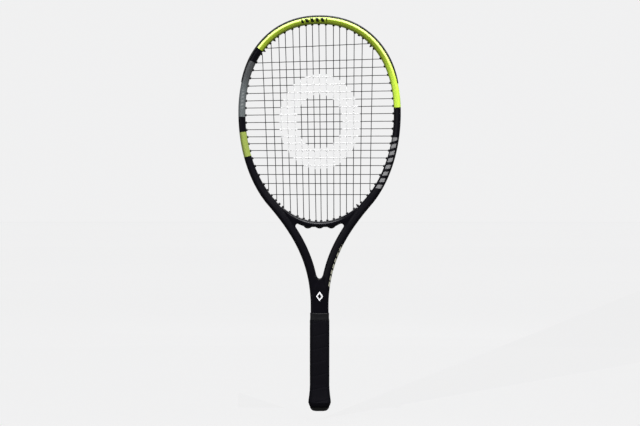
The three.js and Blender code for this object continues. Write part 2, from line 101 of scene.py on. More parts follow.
# Groove, grommets and strings.
GROOVE_DEPTH, GROOVE_HALF = 3.0, 3.2
LOOP_DEPTH = 0.85
STRIP_FLOOR, STRIP_TOP, STRIP_HALF, CHANNEL_HALF = -2.7, -1.8, 2.9, 1.95
BARREL_RADIUS, BARREL_OUT = 2.1, 2.2
STRING_RADIUS, STRING_BEND, STRING_LANE, BORE_SHIFT = 0.65, 2.6, 1.15, 0.35
MAIN_SWING, CROSS_SWING = 0.44, 0.87
KNOT_OUT, KNOT_TURN, KNOT_LENGTH, KNOT_TAIL, KNOT_STRING = 0.45, 0.62, 1.1, 1.6, 0.5
MAIN_TOP = {-1: [-12.8, -23.8, -36, -47.6, -61, -72.5, -86, -101.5],
            1: [-1.3, 11, 24.4, 35.5, 48, 61.4, 75.8, 94.5]}
MAIN_BOTTOM = {-1: [-6.2, -17.6, -27.5, -38.3, -51.7, -63.8, -76.2, -90.5],
               1: [2.8, 13.5, 24.8, 35.8, 48, 60, 72.5, 89.5]}
CROSS_HEIGHT = [631, 605, 591.5, 577.5, 564, 551, 538, 525.5, 513, 500, 487.5, 475, 463, 451, 438, 424.5,
                409, 393, 373.5]
CROSS_LEVEL, CROSS_TILT = 440, 0.042
TIE_TOP_MAIN, TIE_TOP_CROSS, TIE_BOTTOM = {-1: -97.2, 1: 89.9}, {-1: -79.3, 1: 68.6}, {-1: -70, 1: 66.5}
BUMPER_END = {-1: 567.5, 1: 565.5}
BRIDGE_MAINS = 4
EDGE_ROUNDING, SHARP_ANGLE = 1.3, 40

# Throat bridge and handle.
BRIDGE_UNDER, BRIDGE_DEPTH = lowest("throat_bridge")[2], highest("throat_bridge")[1]
BRIDGE_RISE, BRIDGE_END, BRIDGE_GROOVE = 5.6, 41.5, 1.8
BRIDGE_FLAT, BRIDGE_SLOPE = 23.0, 14.0
BRIDGE_CUT_LOW, BRIDGE_CUT_HIGH = 312.0, 345.0
BRIDGE_BODY_REACH, BRIDGE_LIFT_START, BRIDGE_LIFT_SLOPE = 64, 48, 1.5
STRIP_BUMPS, STRIP_BUMP_HALF, STRIP_BUMP_DEPTH = (-20.5, 0, 20.5), 7, 2.6
FILLETS, FILLET_REACH = [(-43, 323), (43, 323), (0, 226)], 14
CORNER_X, CORNER_Z, CORNER_RADIUS, CROTCH_Z, CROTCH_RADIUS = 37.0, 319.7, 5.2, 229.2, 4.8
SHAFT_HALF, SHAFT_DEPTH = 15.6, highest("frame")[1]
GRIP_HALF, GRIP_LOSS, GRIP_CHAMFER, GRIP_TOP = 17.0, 2.0, 5.0, 157.0
GRIP_BOTTOM, SKIRT_TOP = lowest("base_grip")[2], highest("base_grip")[2]
COLLAR_BOTTOM, COLLAR_ROOM, COLLAR_CHAMFER = lowest("rubber_collar")[2], 0.33, 3.7


# ---- Plan curves ----------------------------------------------------------

def unit(v):
    return v / np.linalg.norm(v)


def rim(angle, side):
    """A point of the head's inner edge by its angle from the tip, and the direction out of the head."""
    upper = angle <= math.pi / 2
    power = SQUARENESS if upper else 2
    reach = HEAD_RISE if upper else -HEAD_DROP
    across = max(0.0, math.sin(angle)) ** (2 / power)
    up = abs(math.cos(angle)) ** (2 / power)
    normal = np.array([side * across ** (power - 1) / HEAD_HALF_WIDTH, 0, up ** (power - 1) / reach])
    return np.array([side * HEAD_HALF_WIDTH * across, 0, HEAD_CENTRE + reach * up]), unit(normal)


JUNCTION_HEIGHT = rim(JUNCTION, 1)[0][2]


def face_width(z):
    share = max(0.0, HEAD_CENTRE - z) / (HEAD_CENTRE - JUNCTION_HEIGHT)
    return FACE + (THROAT_FACE - FACE) * share ** 2


def arm_points():
    edge, out = rim(JUNCTION, 1)
    start = edge + out * THROAT_FACE / 2
    down = np.array([out[2], 0, -out[0]])
    return [start, start + down * ARM_TOP_PULL, np.array([SHAFT_X, 0, SHAFT_Z + ARM_BOTTOM_PULL]),
            np.array([SHAFT_X, 0, SHAFT_Z])]


ARM = arm_points()


def station(place):
    """Middle, outward direction and width: 0 is the tip, 1 the end of the head, 2 the shaft."""
    side = -1 if place < 0 else 1
    reach = abs(place)
    if reach <= 1:
        edge, out = rim(reach * JUNCTION, side)
        width = face_width(edge[2])
        return edge + out * width / 2, out, width
    t = reach - 1
    a, b, c, d = ARM
    middle = (1 - t) ** 3 * a + 3 * (1 - t) ** 2 * t * b + 3 * (1 - t) * t * t * c + t ** 3 * d
    slope = unit((1 - t) ** 2 * (b - a) + 2 * (1 - t) * t * (c - b) + t * t * (d - c))
    flip = np.array([side, 1, 1])
    out = np.array([-slope[2], 0, slope[0]])
    width = THROAT_FACE + (SHAFT_FACE - THROAT_FACE) * t
    return middle * flip, out * flip, width


def frame_places(on_arm, on_head):
    """Places from the foot of one arm round the head to the foot of the other."""
    arm = np.linspace(1, 2, on_arm + 1)[1:]
    return [*-arm[::-1], *np.linspace(-1, 1, on_head), *arm]


def at(place, n, y):
    """A point n outward from the outer wall, and y behind the middle plane."""
    middle, out, width = station(place)
    point = middle + out * (width / 2 + n)
    return np.array([point[0], y, point[2]])


def angle_at_height(z):
    upper = z > HEAD_CENTRE
    reach, power = (HEAD_RISE, SQUARENESS) if upper else (HEAD_DROP, 2)
    angle = math.acos((abs(z - HEAD_CENTRE) / reach) ** (power / 2))
    return angle if upper else math.pi - angle


def angle_across(x, top):
    angle = math.asin((abs(x) / HEAD_HALF_WIDTH) ** ((SQUARENESS if top else 2) / 2))
    return angle if top else math.pi - angle


def hole_across(x, top):
    return hole(angle_across(x, top), math.copysign(1, x))


def hole_beside(z, side):
    """A cross's hole; the crosses above the level one climb a little towards the right."""
    climb = CROSS_TILT * max(0, z - CROSS_LEVEL) if side > 0 else 0
    return hole(angle_at_height(z + climb), side)


def bridge_under(x):
    share = min(1.0, max(0.0, (abs(x) - BRIDGE_FLAT) / BRIDGE_SLOPE))
    return BRIDGE_UNDER + BRIDGE_RISE * share * share * (3 - 2 * share)


def hole(angle, side):
    """A string hole: it leaves the head square to the inner edge and opens in the outer groove."""
    edge, out = rim(angle, side)

    def miss(place):
        gone = at(side * place, -LOOP_DEPTH, 0) - edge
        return side * (gone[0] * out[2] - gone[2] * out[0])

    near, far = min(1.0, angle / JUNCTION * 0.98), 1.8
    for _ in range(40):
        middle = (near + far) / 2
        if miss(middle) * miss(near) > 0:
            near = middle
        else:
            far = middle
    place = side * (angle / JUNCTION if angle <= JUNCTION else near)
    return {"edge": edge, "out": out, "place": place, "exit": at(place, -LOOP_DEPTH, 0)}


def bridge_hole(x):
    edge, _ = rim(angle_across(x, False), math.copysign(1, x))
    exit_point = np.array([x, 0, bridge_under(x) - STRING_RADIUS / 2])
    return {"edge": edge, "out": np.array([0, 0, -1.0]), "place": None, "exit": exit_point}


def main_holes(side):
    tops = [hole_across(x, True) for x in MAIN_TOP[side]]
    bottoms = [bridge_hole(x) if i < BRIDGE_MAINS else hole_across(x, False)
               for i, x in enumerate(MAIN_BOTTOM[side])]
    return list(zip(tops, bottoms))


MAINS = {side: main_holes(side) for side in (-1, 1)}
CROSSES = [{side: hole_beside(z, side) for side in (-1, 1)} for z in CROSS_HEIGHT]
TIES = {side: {"main": hole_across(TIE_TOP_MAIN[side], True),
               "cross": hole_across(TIE_TOP_CROSS[side], True),
               "bottom": hole_across(TIE_BOTTOM[side], False)} for side in (-1, 1)}


# ---- Meshes ---------------------------------------------------------------

def mesh_object(name, points, faces, material, smooth_angle=None):
    mesh = bpy.data.meshes.new(name)
    mesh.from_pydata([tuple(p * MM) for p in points], [], faces)
    mesh.validate()
    mesh.update()
    mesh.shade_smooth()
    if smooth_angle:
        mesh.set_sharp_from_angle(angle=math.radians(smooth_angle))
    if material:
        mesh.materials.append(material)
    piece = bpy.data.objects.new(name, mesh)
    bpy.context.scene.collection.objects.link(piece)
    return piece


def skin(rings, closed=False):
    """Points and faces of a surface through rings of equal counts, capped unless it closes on itself."""
    count = len(rings[0])
    points = [p for ring in rings for p in ring]
    faces = []
    spans = len(rings) if closed else len(rings) - 1
    for i in range(spans):
        a, b = i * count, (i + 1) % len(rings) * count
        for j in range(count):
            k = (j + 1) % count
            faces.append((a + j, a + k, b + k, b + j))
    if not closed:
        faces.append(tuple(reversed(range(count))))
        faces.append(tuple(range(len(points) - count, len(points))))
    return points, faces


def combine(shapes):
    points, faces = [], []
    for shape_points, shape_faces in shapes:
        base = len(points)
        points += list(shape_points)
        faces += [tuple(base + i for i in face) for face in shape_faces]
    return points, faces


def cut_corners(line, rounds, closed=False):
    """Chaikin corner cutting; an open line keeps its ends."""
    line = [np.array(p, float) for p in line]
    for _ in range(rounds):
        pairs = list(zip(line, line[1:] + line[:1])) if closed else list(zip(line, line[1:]))
        fresh = [q for a, b in pairs for q in (a * 0.75 + b * 0.25, a * 0.25 + b * 0.75)]
        line = fresh if closed else [line[0], *fresh[1:-1], line[-1]]
    return line


def mirrored(half):
    """(n, y) points, then the same with y on the other side of the middle plane."""
    return [*half, *[(n, -y) for n, y in reversed(half)]]


def front_and_back(half):
    """(y, z) points behind the middle plane, then the same in front of it."""
    return [*half, *[(-y, z) for y, z in reversed(half)]]


def plate(outline, half_depth):
    """A flat slab of (x, z) points, as deep in front of the middle plane as behind it."""
    return skin([[np.array([x, y, z]) for x, z in outline] for y in (-half_depth, half_depth)])


def points_of(mesh):
    """A mesh's points, in millimetres."""
    flat = np.empty(len(mesh.vertices) * 3)
    mesh.vertices.foreach_get("co", flat)
    return flat.reshape(-1, 3) / MM


def swept(profile, places):
    """A profile of (n, y) points, fixed or a function of the place, carried around the frame."""
    rings = []
    for place in places:
        outline = profile(place) if callable(profile) else profile
        rings.append([at(place, n, y) for n, y in outline])
    return skin(rings)


def tube(path, radius, sides=8):
    path = [np.array(p, float) for p in path]
    rings = []
    for i, point in enumerate(path):
        before = unit(point - path[i - 1]) if i else np.zeros(3)
        after = unit(path[i + 1] - point) if i < len(path) - 1 else np.zeros(3)
        along = unit(before + after)
        across = unit(np.cross([0, 1, 0], along))
        up = np.cross(along, across)
        size = radius(i) if callable(radius) else radius
        rings.append([point + size * (across * math.cos(a) + up * math.sin(a))
                      for a in np.linspace(0, 2 * math.pi, sides, endpoint=False)])
    return skin(rings)


def octagon(half_width, half_depth, chamfer, z, rounds=2):
    """A level ring with cut corners, each edge rounded a little where it meets the next."""
    corners = [(half_width, -half_depth + chamfer), (half_width, half_depth - chamfer),
               (half_width - chamfer, half_depth), (-half_width + chamfer, half_depth),
               (-half_width, half_depth - chamfer), (-half_width, -half_depth + chamfer),
               (-half_width + chamfer, -half_depth), (half_width - chamfer, -half_depth)]
    dense = []
    for a, b in zip(corners, corners[1:] + corners[:1]):
        a, b = np.array(a), np.array(b)
        inset = min(0.3, EDGE_ROUNDING / np.linalg.norm(b - a))
        dense += [a + (b - a) * share for share in (inset, 0.4, 0.6, 1 - inset)]
    return [np.array([x, y, z]) for x, y in cut_corners(dense, rounds - 1, closed=True)]


# ---- Materials ------------------------------------------------------------

class Shader:
    """A material with a Principled shader, and short calls for the nodes that feed it."""

    def __init__(self, name, roughness=0.5, **fixed):
        self.material = bpy.data.materials.new(name)
        self.material.use_nodes = True
        self.nodes = self.material.node_tree.nodes
        self.links = self.material.node_tree.links
        self.shader = self.nodes["Principled BSDF"]
        self.shader.inputs["Roughness"].default_value = roughness
        for socket, value in fixed.items():
            self.shader.inputs[socket.replace("_", " ")].default_value = value
        self.coords = self.nodes.new("ShaderNodeTexCoord").outputs["Object"]

    def feed(self, node, index, value):
        if hasattr(value, "is_linked"):
            self.links.new(value, node.inputs[index])
        else:
            node.inputs[index].default_value = value

    def math(self, operation, *values):
        node = self.nodes.new("ShaderNodeMath")
        node.operation = operation
        for i, value in enumerate(values):
            self.feed(node, i, value)
        return node.outputs[0]

    def axes(self):
        node = self.nodes.new("ShaderNodeSeparateXYZ")
        self.feed(node, 0, self.coords)
        return node.outputs

    def attribute(self, name):
        node = self.nodes.new("ShaderNodeAttribute")
        node.attribute_name = name
        return node.outputs["Fac"]

    def texture(self, kind, scale, stretch=(1, 1, 1)):
        """A texture node laid on the piece's own coordinates."""
        mapping = self.nodes.new("ShaderNodeMapping")
        mapping.inputs["Scale"].default_value = stretch
        self.feed(mapping, 0, self.coords)
        node = self.nodes.new(kind)
        node.inputs["Scale"].default_value = scale
        self.links.new(mapping.outputs[0], node.inputs["Vector"])
        return node

    def noise(self, scale, detail=3.0, stretch=(1, 1, 1)):
        node = self.texture("ShaderNodeTexNoise", scale, stretch)
        node.inputs["Detail"].default_value = detail
        return node.outputs["Fac"]

    def cells(self, scale):
        return self.texture("ShaderNodeTexVoronoi", scale).outputs["Distance"]

    def remap(self, value, low, high, new_low=0.0, new_high=1.0):
        node = self.nodes.new("ShaderNodeMapRange")
        for i, number in enumerate((value, low, high, new_low, new_high)):
            self.feed(node, i, number)
        return node.outputs[0]

    def between(self, value, low, high, soft=0.2):
        """1 between two numbers and 0 outside, with edges this soft."""
        return self.math("MULTIPLY", self.remap(value, low - soft, low + soft),
                         self.remap(value, high + soft, high - soft))

    def mix(self, share, first, second):
        node = self.nodes.new("ShaderNodeMix")
        node.data_type = "RGBA"
        self.feed(node, 0, share)
        self.feed(node, 6, (*first, 1) if isinstance(first, tuple) else first)
        self.feed(node, 7, (*second, 1) if isinstance(second, tuple) else second)
        return node.outputs[2]

    def colour(self, value):
        self.feed(self.shader, "Base Color", value)

    def rough(self, value):
        self.feed(self.shader, "Roughness", value)

    def bump(self, height, distance, strength=1.0):
        node = self.nodes.new("ShaderNodeBump")
        node.inputs["Distance"].default_value = distance
        node.inputs["Strength"].default_value = strength
        self.links.new(height, node.inputs["Height"])
        self.links.new(node.outputs[0], self.shader.inputs["Normal"])


BLACK = (0.0016, 0.0014, 0.0028)
LIME = (0.49, 0.70, 0.062)
# The next two colours are a painted highlight and a painted shade for the lime tip's outer and inner
# slopes.
LIME_PAINTED_HIGHLIGHT = (0.56, 0.69, 0.21)
LIME_PAINTED_SHADE = (0.25, 0.33, 0.022)
OLIVE = (0.216, 0.270, 0.059)
GREY = (0.069, 0.072, 0.075)
PALE_GREY = (0.101, 0.112, 0.116)
DASH_INK, BAR_GREY, FAINT_GREY = (0.008, 0.010, 0.005), (0.17, 0.17, 0.175), (0.33, 0.34, 0.34)
# The middle colour on the next line is a painted highlight for the throat bridge's ridge.
ARM_CREAM, RIDGE_HIGHLIGHT_GREY, DIAMOND_WHITE = (0.46, 0.46, 0.36), (0.070, 0.070, 0.075), (0.78, 0.78, 0.80)

# Heights in millimetres at which painted bands start and end, on one side of the head or the other.
LIME_LEFT_END, LIME_RIGHT_END = 626.5, 526
GREY_TOP, GREY_FULL, GREY_PALE, GREY_BOTTOM = 605, 580, 555, 509.5
OLIVE_TOP, OLIVE_BOTTOM = 483, 441
# Heights on the right side over which the lime tip's painted highlight and shade fade out.
PAINTED_LIGHT_NONE, PAINTED_LIGHT_FULL = 575, 615
HEAD_PAINT_LOW, HEAD_PAINT_HIGH = 352, 356

# Rows of dashes: pitch, inked share of it, slant, and how far from the outer wall they begin and end.
TIP_DASHES, TIP_DASHES_RUN = (9.0, 0.62, 0.35, -9.4, -2.6), (-32, 13)
HEAD_BARS, HEAD_BARS_TOP, HEAD_BARS_BOTTOM = (12.5, 0.58, 0.5, -11.0, -3.4), 474, 384
FAINT_DASHES, FAINT_TOP, FAINT_BOTTOM = (6.5, 0.5, 0.5, -8.5, -4.5), 556, 524
ARM_BARS, ARM_BARS_TOP, ARM_BARS_BOTTOM = (11.0, 0.72, -0.6, -2.8, 0.4), 291, 214

# The diamond on the front of the shaft, and the painted highlight line along the throat bridge's ridge.
DIAMOND_HEIGHT, DIAMOND_SQUASH, DIAMOND_INNER, DIAMOND_OUTER = 199, 0.72, 3.4, 6.2
RIDGE_HIGHLIGHT_NEAR, RIDGE_HIGHLIGHT_FAR, RIDGE_HIGHLIGHT_TOP, RIDGE_HIGHLIGHT_BOTTOM, RIDGE_HIGHLIGHT_END, RIDGE_HIGHLIGHT_FULL = 3.4, 4.5, 345, 336, 42, 30
ARM_END = 1.9


def run_at(side, z, runs):
    """How far along the frame from the tip its middle passes a height, on one side."""
    places = np.array(runs["place"])
    gap = abs(runs["middle"][:, 2] - z)
    gap[(places * side < 0) | (abs(places) > ARM_END)] = np.inf
    return float(runs["run"][np.argmin(gap)])


def scaled(colour, factor):
    return tuple(channel * factor for channel in colour)


def painted_ridge_highlight(s, x, z):
    """Where a painted highlight line runs along the throat bridge's ridge, a little below the head's inner
    edge.
    """
    wide = s.math("POWER", s.math("DIVIDE", x, HEAD_HALF_WIDTH * MM), 2.0)
    drop = s.math("DIVIDE", s.math("SUBTRACT", z, HEAD_CENTRE * MM), HEAD_DROP * MM)
    radius = s.math("SQRT", s.math("ADD", wide, s.math("POWER", drop, 2.0)))
    below = s.math("MULTIPLY", s.math("SUBTRACT", radius, 1.0), HEAD_DROP)
    low_enough = s.remap(z, RIDGE_HIGHLIGHT_TOP * MM, RIDGE_HIGHLIGHT_BOTTOM * MM)
    middle = s.remap(s.math("ABSOLUTE", x), RIDGE_HIGHLIGHT_END * MM, RIDGE_HIGHLIGHT_FULL * MM)
    return s.math("MULTIPLY", s.math("MULTIPLY", low_enough, middle), s.between(below, RIDGE_HIGHLIGHT_NEAR, RIDGE_HIGHLIGHT_FAR))


def diamond(s, x, y, z):
    """Where the diamond's outline is, on the front of the shaft only."""
    front = s.remap(y, 0.0, -1 * MM)
    height = s.math("ABSOLUTE", s.math("SUBTRACT", z, DIAMOND_HEIGHT * MM))
    spread = s.math("ADD", s.math("ABSOLUTE", x), s.math("MULTIPLY", height, DIAMOND_SQUASH))
    outline = s.between(spread, DIAMOND_INNER * MM, DIAMOND_OUTER * MM, 0.1 * MM)
    return s.math("MULTIPLY", outline, front)


def dashes(s, run, across, ends, row):
    """Where a row of slanted dashes is inked, between two distances along the frame."""
    pitch, share, slant, low, high = row
    start, end = sorted(ends)
    slanted = s.math("ADD", run, s.math("MULTIPLY", across, slant))
    wave = s.math("FRACT", s.math("DIVIDE", slanted, pitch))
    inside = s.math("MULTIPLY", s.between(run, start, end), s.between(across, low, high))
    return s.math("MULTIPLY", inside, s.between(wave, 0.02, share, 0.02))


def lime_with_painted_light(s, run, across, cloud, runs):
    """Lime, with a painted highlight over the tip's outer slope and painted shade on its inner one."""
    lime = s.mix(s.remap(cloud, 0.3, 0.7), LIME, scaled(LIME, 0.92))
    painted_light_reach = s.remap(run, run_at(1, PAINTED_LIGHT_NONE, runs), run_at(1, PAINTED_LIGHT_FULL, runs))
    # Painted highlight along the outer slope.
    outer = s.between(across, -4.8, 3.0, 0.7)
    lime = s.mix(s.math("MULTIPLY", painted_light_reach, outer), lime, LIME_PAINTED_HIGHLIGHT)
    # Painted shade on the inner slope.
    inner = s.remap(across, -4.6, -6.2)
    return s.mix(s.math("MULTIPLY", s.math("MULTIPLY", painted_light_reach, inner), 0.85), lime, LIME_PAINTED_SHADE)


def paint_material(runs):
    """Lacquer: bands, printed rows of dashes, fine flake and orange peel under a thin clear coat, with
    painted highlight and shade on the lime tip and a painted highlight line on the throat bridge.
    """
    s = Shader("frame_paint", 0.38, Coat_Weight=0.06, Coat_Roughness=0.14, Specular_IOR_Level=0.07)
    run = s.attribute("run")
    across = s.attribute("across")
    x, y, z = s.axes()
    flake = s.noise(2600, 2.0)
    cloud = s.noise(45, 3.0)
    head = s.remap(z, HEAD_PAINT_LOW * MM, HEAD_PAINT_HIGH * MM)
    right_side = s.remap(x, 10 * MM, 11 * MM)

    def runs_between(side, top, bottom):
        return sorted((run_at(side, top, runs), run_at(side, bottom, runs)))

    def band(side, top, bottom):
        return s.math("MULTIPLY", head, s.between(run, *runs_between(side, top, bottom)))

    def printed(where, ends, row, below, ink, strength=1.0):
        inked = s.math("MULTIPLY", where, dashes(s, run, across, ends, row))
        return s.mix(s.math("MULTIPLY", inked, strength), below, ink)

    black = s.mix(s.remap(flake, 0.45, 0.75), BLACK, scaled(BLACK, 2.2))
    lime_ends = run_at(-1, LIME_LEFT_END, runs), run_at(1, LIME_RIGHT_END, runs)
    tip_band = s.math("MULTIPLY", head, s.between(run, *lime_ends))
    # The lime tip carries its painted highlight and shade.
    colour = s.mix(tip_band, black, lime_with_painted_light(s, run, across, cloud, runs))
    fade = s.remap(run, run_at(-1, GREY_FULL, runs), run_at(-1, GREY_PALE, runs))
    grey = s.mix(fade, s.mix(s.remap(flake, 0.35, 0.65), GREY, scaled(GREY, 0.7)), PALE_GREY)
    colour = s.mix(band(-1, GREY_TOP, GREY_BOTTOM), colour, grey)
    colour = s.mix(band(-1, OLIVE_TOP, OLIVE_BOTTOM), colour, s.mix(cloud, OLIVE, scaled(OLIVE, 1.12)))

    colour = printed(head, TIP_DASHES_RUN, TIP_DASHES, colour, DASH_INK)
    bar_ends = runs_between(1, HEAD_BARS_TOP, HEAD_BARS_BOTTOM)
    colour = printed(head, bar_ends, HEAD_BARS, colour, BAR_GREY)
    faint_ends = runs_between(-1, FAINT_TOP, FAINT_BOTTOM)
    colour = printed(head, faint_ends, FAINT_DASHES, colour, FAINT_GREY, 0.3)
    arm_ends = runs_between(1, ARM_BARS_TOP, ARM_BARS_BOTTOM)
    colour = printed(right_side, arm_ends, ARM_BARS, colour, ARM_CREAM)
    # Painted highlight line along the throat bridge's ridge.
    colour = s.mix(painted_ridge_highlight(s, x, z), colour, RIDGE_HIGHLIGHT_GREY)
    colour = s.mix(diamond(s, x, y, z), colour, DIAMOND_WHITE)
    s.colour(colour)
    s.rough(s.remap(s.noise(60, 4.0), 0.3, 0.7, 0.33, 0.45))
    s.bump(s.noise(420, 2.0), 0.02 * MM, 0.35)
    return s.material


def nylon_material(name="moulded_nylon", tone=0.005):
    s = Shader(name, 0.5, Specular_IOR_Level=0.25)
    cloud = s.noise(120, 4.0)
    s.colour(s.mix(cloud, (tone, tone, tone * 1.1), (tone * 1.9, tone * 1.9, tone * 2)))
    s.rough(s.remap(s.noise(300, 3.0), 0.3, 0.7, 0.42, 0.62))
    s.bump(s.noise(1800, 3.0), 0.03 * MM, 0.4)
    return s.material


STENCIL_HEIGHT, STENCIL_SQUASH, STENCIL_INNER, STENCIL_OUTER = 502, 0.85, 40, 70.5
STENCIL_RAGGED, STENCIL_EDGE = 2.5, 0.4


def string_material(name):
    """Black monofilament with a plain white oval ring stencilled across the string bed."""
    s = Shader(name, 0.33, Specular_IOR_Level=0.12)
    x, y, z = s.axes()
    tall = s.math("MULTIPLY", s.math("SUBTRACT", z, STENCIL_HEIGHT * MM), STENCIL_SQUASH)
    radius = s.math("SQRT", s.math("ADD", s.math("POWER", x, 2.0), s.math("POWER", tall, 2.0)))
    rough_edge = s.math("MULTIPLY", s.math("SUBTRACT", s.noise(700, 2.0), 0.5), STENCIL_RAGGED * MM)
    ragged = s.math("ADD", radius, rough_edge)
    stencil = s.between(ragged, STENCIL_INNER * MM, STENCIL_OUTER * MM, STENCIL_EDGE * MM)
    worn = s.math("MULTIPLY", stencil, s.remap(s.noise(900, 3.0), 0.28, 0.36))
    black = s.mix(s.noise(900, 2.0), (0.003, 0.003, 0.004), (0.007, 0.007, 0.009))
    s.colour(s.mix(worn, black, (0.62, 0.62, 0.625)))
    s.rough(s.remap(stencil, 0.0, 1.0, 0.33, 0.6))
    s.bump(s.noise(1500, 2.0), 0.02 * MM, 0.3)
    return s.material


def grip_material():
    """Tacky synthetic leather: fine grain, rows of small perforations and faint handling shine."""
    s = Shader("grip_wrap", 0.62, Specular_IOR_Level=0.08)
    grain = s.cells(1500)
    hole = s.attribute("perforation")
    cloud = s.noise(38, 4.0)
    base = s.mix(cloud, (0.0018, 0.0016, 0.0034), (0.0040, 0.0036, 0.0060))
    s.colour(s.mix(hole, base, (0.002, 0.002, 0.0025)))
    s.rough(s.remap(s.noise(55, 3.0), 0.3, 0.7, 0.52, 0.7))
    height = s.math("SUBTRACT", s.math("MULTIPLY", grain, 0.35), hole)
    s.bump(height, 0.12 * MM, 0.6)
    return s.material


def rubber_material():
    s = Shader("collar_rubber", 0.40, Specular_IOR_Level=0.25)
    s.colour(s.mix(s.noise(90, 3.0), (0.0022, 0.0022, 0.0034), (0.0045, 0.0045, 0.006)))
    s.rough(s.remap(s.noise(160, 3.0), 0.3, 0.7, 0.4, 0.55))
    s.bump(s.noise(900, 3.0), 0.04 * MM, 0.4)
    return s.material


def tape_material():
    s = Shader("vinyl_tape", 0.3)
    s.colour(s.mix(s.noise(60, 3.0), (0.012, 0.012, 0.013), (0.022, 0.022, 0.024)))
    s.rough(s.remap(s.noise(200, 3.0), 0.3, 0.7, 0.25, 0.4))
    s.bump(s.noise(240, 2.0, (1, 1, 6)), 0.05 * MM, 0.3)
    return s.material


def foam_material():
    s = Shader("pallet_foam", 0.85)
    s.colour(s.mix(s.noise(300, 4.0), (0.03, 0.03, 0.031), (0.06, 0.06, 0.062)))
    s.bump(s.cells(900), 0.2 * MM, 0.6)
    return s.material


def steel_material():
    s = Shader("staple_wire", 0.35, Metallic=1.0)
    s.colour(s.mix(s.noise(500, 3.0), (0.42, 0.42, 0.43), (0.6, 0.6, 0.6)))
    s.rough(s.remap(s.noise(300, 3.0, (1, 1, 8)), 0.3, 0.7, 0.28, 0.5))
    s.bump(s.noise(900, 2.0, (8, 1, 1)), 0.02 * MM, 0.3)
    return s.material


# ---- Frame ----------------------------------------------------------------

def beam_profile(place):
    _, _, width = station(place)
    skin_line = [(-width, 0), (-width, 6), (1.6 - width, 9), (3.2 - width, 9.9), (-5.6, 11.8),
                 (-4.6, HALF_DEPTH), (-3.2, 11.4), (-1.2, 9.8), (0, 6.8), (0, GROOVE_HALF + 0.4)]
    rounded = [tuple(p) for p in cut_corners(skin_line, 2)]
    end = 1 + ARM_STRIP_END
    depth = GROOVE_DEPTH * min(1.0, max(0.02, (end - abs(place)) / 0.02))
    groove = [(-0.25, GROOVE_HALF), (-depth, GROOVE_HALF - 0.1), (-depth, 0.01)]
    return mirrored([(-width, 0.01), *rounded[1:], *groove])


def bridge_ring(x):
    top = rim(angle_across(x, False), 1)[0][2]
    under = bridge_under(x) + max(0.0, abs(x) - BRIDGE_LIFT_START) * BRIDGE_LIFT_SLOPE
    depth = BRIDGE_DEPTH
    half = [(depth - 2.6, under), (depth, under + 2.4), (depth, top - 3.4), (depth - 3.8, top)]
    return [np.array([x, y, z]) for y, z in cut_corners(front_and_back(half), 2, closed=True)]


def corner_fill(side):
    """The web that rounds one upper corner of the throat opening."""
    angles = np.radians(np.linspace(-25, 112, 24))
    arc = [(CORNER_X + CORNER_RADIUS * math.cos(a), CORNER_Z + CORNER_RADIUS * math.sin(a)) for a in angles]
    outline = [*arc, (CORNER_X - 3, CORNER_Z + 10), (CORNER_X + 12, CORNER_Z + 10),
               (CORNER_X + 12, CORNER_Z - 1)]
    return plate([(side * x, z) for x, z in outline], BRIDGE_DEPTH - 0.6)


def crotch_fill():
    """The web that closes the bottom of the throat opening in a round."""
    angles = np.radians(np.linspace(-180, 0, 24))
    middle = CROTCH_Z + CROTCH_RADIUS
    arc = [(CROTCH_RADIUS * math.cos(a), middle + CROTCH_RADIUS * math.sin(a)) for a in angles]
    top, foot, bottom = CROTCH_RADIUS + 3, CROTCH_RADIUS + 5, CROTCH_Z - 14
    outline = [*arc, (top, middle), (foot, bottom), (-foot, bottom), (-top, middle)]
    return plate(outline, SHAFT_DEPTH - 2.2)


def strip_groove():
    """The space under the throat bridge that its grommet strip is set into."""
    rings = []
    for x in np.linspace(-BRIDGE_END, BRIDGE_END, 60):
        low, high = bridge_under(x) - 3, bridge_under(x) + BRIDGE_GROOVE
        rings.append([np.array([x, y, z]) for y, z in
                      ((GROOVE_HALF, low), (GROOVE_HALF, high), (-GROOVE_HALF, high), (-GROOVE_HALF, low))])
    return skin(rings)


def sample_runs():
    """Middle, outward direction, width and way from the tip, closely spaced along the whole frame."""
    places = frame_places(500, 2000)
    spots = [station(place) for place in places]
    middles = np.array([spot[0] for spot in spots])
    steps = np.r_[0, np.cumsum(np.linalg.norm(np.diff(middles, axis=0), axis=1))]
    run = steps - np.interp(0, places, steps)
    return {"place": places, "middle": middles, "out": np.array([spot[1] for spot in spots]),
            "width": np.array([spot[2] for spot in spots]), "run": run}


def store(mesh, name, values):
    """One number on each point, for a material to read."""
    mesh.attributes.new(name, "FLOAT", "POINT").data.foreach_set("value", values.astype(np.float32))


def add_runs(mesh, runs):
    """Stores on each point its way along the frame and its distance from the outer wall, in millimetres."""
    tree = KDTree(len(runs["run"]))
    for i, middle in enumerate(runs["middle"]):
        tree.insert(Vector((middle[0], 0, middle[2])), i)
    tree.balance()
    points = points_of(mesh)
    nearest = np.array([tree.find(Vector((p[0], 0, p[2])))[1] for p in points])
    out = runs["out"][nearest]
    offset = points - runs["middle"][nearest]
    forward = np.stack([out[:, 2], out[:, 1] * 0, -out[:, 0]], axis=1)
    run = runs["run"][nearest] + (offset * forward).sum(axis=1)
    across = (offset * out).sum(axis=1) - runs["width"][nearest] / 2
    store(mesh, "run", run)
    store(mesh, "across", across)


def apply_modifiers(piece):
    graph = bpy.context.evaluated_depsgraph_get()
    mesh = bpy.data.meshes.new_from_object(piece.evaluated_get(graph))
    piece.modifiers.clear()
    piece.data = mesh


